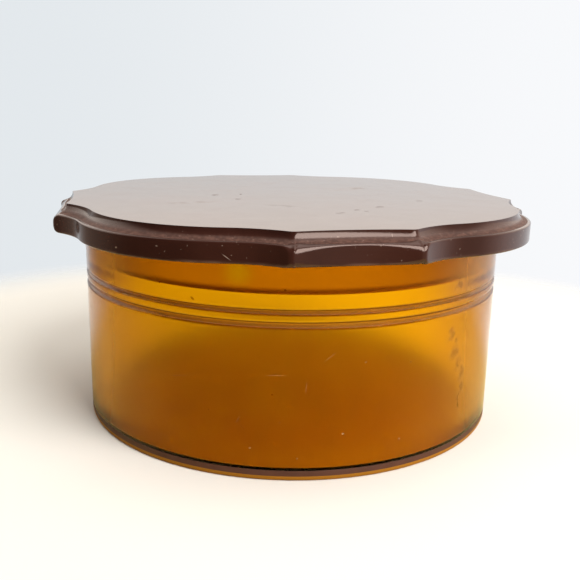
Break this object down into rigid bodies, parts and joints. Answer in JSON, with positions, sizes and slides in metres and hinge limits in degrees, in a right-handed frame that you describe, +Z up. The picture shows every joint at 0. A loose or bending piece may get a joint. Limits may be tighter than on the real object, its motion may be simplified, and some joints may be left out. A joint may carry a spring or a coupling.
{
  "type": "powder jar",
  "caption": "Round translucent amber vanity jar with turned grooves, cemented base and a loose dark scalloped lid located by a ring.",
  "frame": {"origin": "centre of the jar's flat underside, which is also the bottom centre of the whole object's box", "axes": "+Z up along the axis of the jar, +X and +Y through the middles of the lid's hollow facets"},
  "size_m": [0.1124, 0.1124, 0.0512],
  "materials": {
    "amber_wall": "gloss",
    "amber_base": "gloss",
    "amber_ring": "gloss",
    "cement": "satin",
    "dark_lid": "gloss"
  },
  "bodies": {
    "jar": {"jar_wall": "amber_wall", "base_disc": "amber_base", "base_cement": "cement"},
    "lid_ring_body": {"lid_ring": "amber_ring"},
    "lid": {"lid_plate": "dark_lid"}
  },
  "joints": [
    {"name": "lid_lift", "type": "slide", "parent": "jar", "child": "lid_ring_body", "axis": [0, 0, 1], "range_m": [0, 0.06]},
    {"name": "lid_turn", "type": "hinge", "parent": "lid_ring_body", "child": "lid", "pos_m": [0, 0, 0.048], "axis": [0, 0, 1], "continuous": true}
  ]
}
